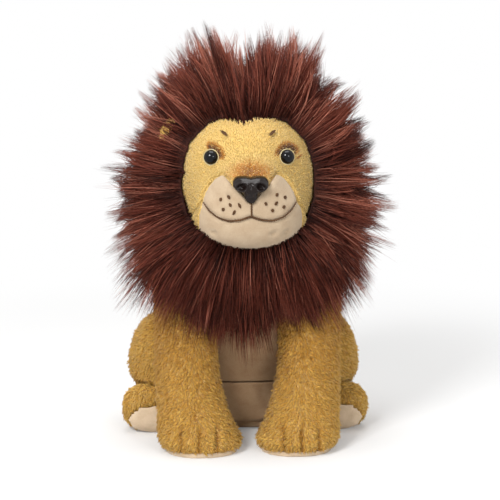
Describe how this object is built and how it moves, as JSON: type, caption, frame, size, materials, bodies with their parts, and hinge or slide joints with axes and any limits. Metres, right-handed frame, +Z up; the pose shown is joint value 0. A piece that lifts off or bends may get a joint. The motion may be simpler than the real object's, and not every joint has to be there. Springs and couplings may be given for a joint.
{
  "type": "plush lion",
  "caption": "Sitting plush lion with a long-pile mane, a turning head, swinging forelegs and a tail that sweeps sideways.",
  "frame": {"origin": "in the flat underside of the seat panel, on the floor, on the toy's middle line", "axes": "+Z up, the face looks along -Y, +X towards the viewer's right"},
  "size_m": [0.2047, 0.1995, 0.2925],
  "materials": {
    "gold_plush": "short soft pile",
    "cream_velour": "short velour",
    "mane_pile": "long pile",
    "nose_plastic": "satin moulded",
    "eye_plastic": "polished dome",
    "washer_plastic": "plain moulded",
    "bag_cloth": "plain woven"
  },
  "bodies": {
    "body": {"torso": "gold_plush", "chest_panel": "cream_velour", "belly_panel": "cream_velour", "seat_panel": "cream_velour", "pellet_bag": "bag_cloth", "haunch_left": "gold_plush", "haunch_right": "gold_plush", "hind_foot_left": "gold_plush", "hind_foot_right": "gold_plush", "hind_sole_left": "cream_velour", "hind_sole_right": "cream_velour", "mane_bib": "mane_pile", "mane_collar": "mane_pile"},
    "head_body": {"head": "gold_plush", "muzzle": "cream_velour", "chin": "cream_velour", "nose": "nose_plastic", "nose_washer": "washer_plastic", "eye_left": "eye_plastic", "eye_right": "eye_plastic", "eye_washer_left": "washer_plastic", "eye_washer_right": "washer_plastic", "ear_left": "gold_plush", "ear_right": "gold_plush", "mane_left": "mane_pile", "mane_right": "mane_pile", "mane_nape": "mane_pile"},
    "foreleg_left_body": {"foreleg_left": "gold_plush", "forepaw_sole_left": "cream_velour"},
    "foreleg_right_body": {"foreleg_right": "gold_plush", "forepaw_sole_right": "cream_velour"},
    "tail_body": {"tail": "gold_plush", "tail_tuft": "mane_pile"}
  },
  "joints": [
    {"name": "head_turn", "type": "hinge", "parent": "body", "child": "head_body", "pos_m": [0, -0.03, 0.145], "axis": [0, 0, 1], "range_deg": [-15, 15], "stiffness_Nm_per_rad": 0.05},
    {"name": "foreleg_left_swing", "type": "hinge", "parent": "body", "child": "foreleg_left_body", "pos_m": [-0.0445, -0.058, 0.118], "axis": [-1, 0, 0], "range_deg": [0, 20], "stiffness_Nm_per_rad": 0.03, "deforming": ["mane_bib"]},
    {"name": "foreleg_right_swing", "type": "hinge", "parent": "body", "child": "foreleg_right_body", "pos_m": [0.0445, -0.058, 0.118], "axis": [-1, 0, 0], "range_deg": [0, 20], "stiffness_Nm_per_rad": 0.03, "deforming": ["mane_bib"]},
    {"name": "tail_swing", "type": "hinge", "parent": "body", "child": "tail_body", "pos_m": [0, 0.0445, 0.0145], "axis": [0, 0, 1], "range_deg": [-20, 20], "stiffness_Nm_per_rad": 0.01}
  ]
}
